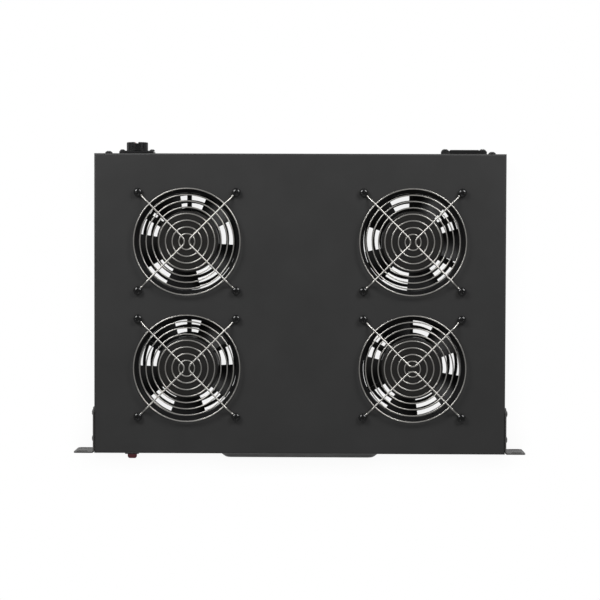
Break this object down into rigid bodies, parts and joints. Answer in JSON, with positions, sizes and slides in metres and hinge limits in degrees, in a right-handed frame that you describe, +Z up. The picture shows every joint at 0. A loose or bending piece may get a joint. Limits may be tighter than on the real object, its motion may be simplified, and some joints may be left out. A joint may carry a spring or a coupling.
{
  "type": "rack fan tray",
  "caption": "Flat rack-mount tray that blows air through round openings under wire guards, with folded mounting ears, a mains inlet, a rocker switch and a temperature dial.",
  "frame": {"origin": "centre of the rack-hole pattern, on the rear faces of the rack ears, which seat on the rack's rails", "axes": "+X to the right of the front panel, +Y to the rear, +Z up; the front panel faces -Y"},
  "size_m": [0.4826, 0.3398, 0.0496],
  "materials": {
    "powder_coat": "fine-textured matt powder coat",
    "black_zinc_screw": "black zinc, semi-gloss",
    "zinc_steel": "bright zinc",
    "guard_wire": "bright plated wire",
    "fan_casting": "black coated casting",
    "impeller_plastic": "satin moulded",
    "stator_steel": "laminated pack",
    "ground_steel": "ground",
    "contact_metal": "plated",
    "black_plastic": "satin moulded",
    "rocker_red": "gloss",
    "marker_red": "satin"
  },
  "bodies": {
    "chassis": {"base_tray": "powder_coat", "cover_screws": "black_zinc_screw", "ear_nuts": "zinc_steel", "ear_screws": "black_zinc_screw", "fan_bearings": "ground_steel", "fan_frame_front_left": "fan_casting", "fan_frame_front_right": "fan_casting", "fan_frame_rear_left": "fan_casting", "fan_frame_rear_right": "fan_casting", "fan_stator_front_left": "stator_steel", "fan_stator_front_right": "stator_steel", "fan_stator_rear_left": "stator_steel", "fan_stator_rear_right": "stator_steel", "guard_front_left": "guard_wire", "guard_front_right": "guard_wire", "guard_nuts": "zinc_steel", "guard_rear_left": "guard_wire", "guard_rear_right": "guard_wire", "guard_screws": "black_zinc_screw", "inlet_body": "black_plastic", "inlet_nuts": "zinc_steel", "inlet_pins": "contact_metal", "inlet_screws": "black_zinc_screw", "rack_ear_left": "powder_coat", "rack_ear_right": "powder_coat", "switch_body": "black_plastic", "switch_tabs": "contact_metal", "thermostat_body": "black_plastic", "thermostat_screws": "black_zinc_screw", "top_cover": "powder_coat"},
    "rotor_rear_left": {"impeller_rear_left": "impeller_plastic", "fan_shaft_rear_left": "ground_steel"},
    "rotor_rear_right": {"impeller_rear_right": "impeller_plastic", "fan_shaft_rear_right": "ground_steel"},
    "rotor_front_left": {"impeller_front_left": "impeller_plastic", "fan_shaft_front_left": "ground_steel"},
    "rotor_front_right": {"impeller_front_right": "impeller_plastic", "fan_shaft_front_right": "ground_steel"},
    "rocker": {"switch_rocker": "rocker_red"},
    "dial": {"thermostat_knob": "black_plastic", "thermostat_marker": "marker_red", "thermostat_spindle": "ground_steel"}
  },
  "joints": [
    {"name": "fan_spin_rear_left", "type": "hinge", "parent": "chassis", "child": "rotor_rear_left", "pos_m": [-0.12015, 0.2247, 0], "axis": [0, 0, 1], "continuous": true},
    {"name": "fan_spin_rear_right", "type": "hinge", "parent": "chassis", "child": "rotor_rear_right", "pos_m": [0.12015, 0.2247, 0], "axis": [0, 0, 1], "continuous": true},
    {"name": "fan_spin_front_left", "type": "hinge", "parent": "chassis", "child": "rotor_front_left", "pos_m": [-0.12015, 0.0899, 0], "axis": [0, 0, 1], "continuous": true},
    {"name": "fan_spin_front_right", "type": "hinge", "parent": "chassis", "child": "rotor_front_right", "pos_m": [0.12015, 0.0899, 0], "axis": [0, 0, 1], "continuous": true},
    {"name": "rocker_tip", "type": "hinge", "parent": "chassis", "child": "rocker", "pos_m": [-0.18005, 0.0017, 0], "axis": [1, 0, 0], "range_deg": [-24, 0]},
    {"name": "dial_turn", "type": "hinge", "parent": "chassis", "child": "dial", "pos_m": [-0.17515, 0.3172, 0], "axis": [0, 1, 0], "range_deg": [-135, 135]}
  ]
}
